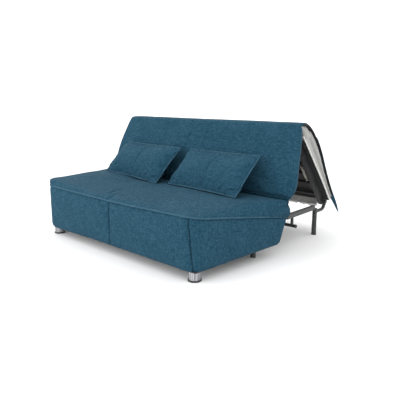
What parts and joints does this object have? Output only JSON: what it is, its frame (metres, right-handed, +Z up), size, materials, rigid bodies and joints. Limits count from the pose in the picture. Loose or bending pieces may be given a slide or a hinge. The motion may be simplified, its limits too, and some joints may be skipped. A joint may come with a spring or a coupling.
{
  "type": "folding sofa bed",
  "caption": "Armless folding sofa bed in petrol woven fabric, with pillows and a back that unfolds over a steel frame.",
  "frame": {"origin": "middle of the object's box, on the floor it stands on, in the sofa position", "axes": "+X towards the sitter's left as seen from the front camera side (the object's right in a front view), -Y the way the seat faces, +Z up"},
  "size_m": [1.53, 1.42, 0.7407],
  "materials": {
    "petrol_fabric": "woven, slightly heathered",
    "white_ticking": "woven mattress ticking",
    "dark_steel": "satin powder coat",
    "dark_slats": "dark stained plywood",
    "black_plastic": "matt",
    "brushed_feet": "brushed",
    "zinc_pins": "zinc plated",
    "cream_springs": "cream sleeve"
  },
  "bodies": {
    "root": {"seat_side_tube_left": "dark_steel", "seat_side_tube_right": "dark_steel", "seat_front_rail": "dark_steel", "seat_rear_rail": "dark_steel", "seat_slats": "dark_slats", "seat_slat_holders": "black_plastic", "seat_mattress": "white_ticking", "seat_cover": "petrol_fabric", "skirt_front": "petrol_fabric", "skirt_left": "petrol_fabric", "skirt_right": "petrol_fabric", "foot_bracket_left": "dark_steel", "foot_bracket_right": "dark_steel", "front_foot_left": "brushed_feet", "front_foot_right": "brushed_feet", "foot_rings": "black_plastic", "mid_leg_left": "dark_steel", "mid_leg_right": "dark_steel", "mid_leg_caps": "black_plastic", "seat_hinge_plates": "dark_steel", "seat_hinge_pins": "zinc_pins"},
    "back_section": {"back_side_tube_left": "dark_steel", "back_side_tube_right": "dark_steel", "back_lower_rail": "dark_steel", "back_upper_rail": "dark_steel", "back_slats": "dark_slats", "back_slat_holders": "black_plastic", "back_mattress": "white_ticking", "back_cover": "petrol_fabric", "back_apex_plates": "dark_steel", "apex_pins": "zinc_pins"},
    "rear_section": {"rear_side_tube_left": "dark_steel", "rear_side_tube_right": "dark_steel", "rear_upper_rail": "dark_steel", "rear_lower_rail": "dark_steel", "rear_slats": "dark_slats", "rear_slat_holders": "black_plastic", "rear_mattress": "white_ticking", "rear_flap": "petrol_fabric", "rear_apex_plates": "dark_steel", "spring_pegs": "zinc_pins", "frame_springs": "cream_springs"},
    "rear_base": {"rear_leg_left": "dark_steel", "rear_leg_right": "dark_steel", "leg_arm_left": "dark_steel", "leg_arm_right": "dark_steel", "base_rail_left": "dark_steel", "base_rail_right": "dark_steel", "base_drop_tubes": "dark_steel", "base_cross_tube": "dark_steel", "rear_leg_caps": "black_plastic", "cross_tube_caps": "black_plastic", "base_pins": "zinc_pins"},
    "pillow_left_body": {"pillow_left": "petrol_fabric"},
    "pillow_right_body": {"pillow_right": "petrol_fabric"}
  },
  "joints": [
    {"name": "back_fold", "type": "hinge", "parent": "root", "child": "back_section", "pos_m": [0, 0.02396, 0.2], "axis": [-1, 0, 0], "range_deg": [0, 72]},
    {"name": "rear_fold", "type": "hinge", "parent": "back_section", "child": "rear_section", "pos_m": [0, 0.18002, 0.68028], "axis": [1, 0, 0], "range_deg": [0, 123]},
    {"name": "leg_fold", "type": "hinge", "parent": "rear_section", "child": "rear_base", "pos_m": [0, 0.56894, 0.2], "axis": [-1, 0, 0], "range_deg": [0, 51]},
    {"name": "pillow_left_lift", "type": "slide", "parent": "root", "child": "pillow_left_body", "axis": [0, 0, 1], "range_m": [0, 0.3]},
    {"name": "pillow_right_lift", "type": "slide", "parent": "root", "child": "pillow_right_body", "axis": [0, 0, 1], "range_m": [0, 0.3]}
  ],
  "couplings": [
    {"joint": "rear_fold", "follows": "back_fold", "ratio": 1.7083},
    {"joint": "leg_fold", "follows": "back_fold", "ratio": 0.70833}
  ]
}
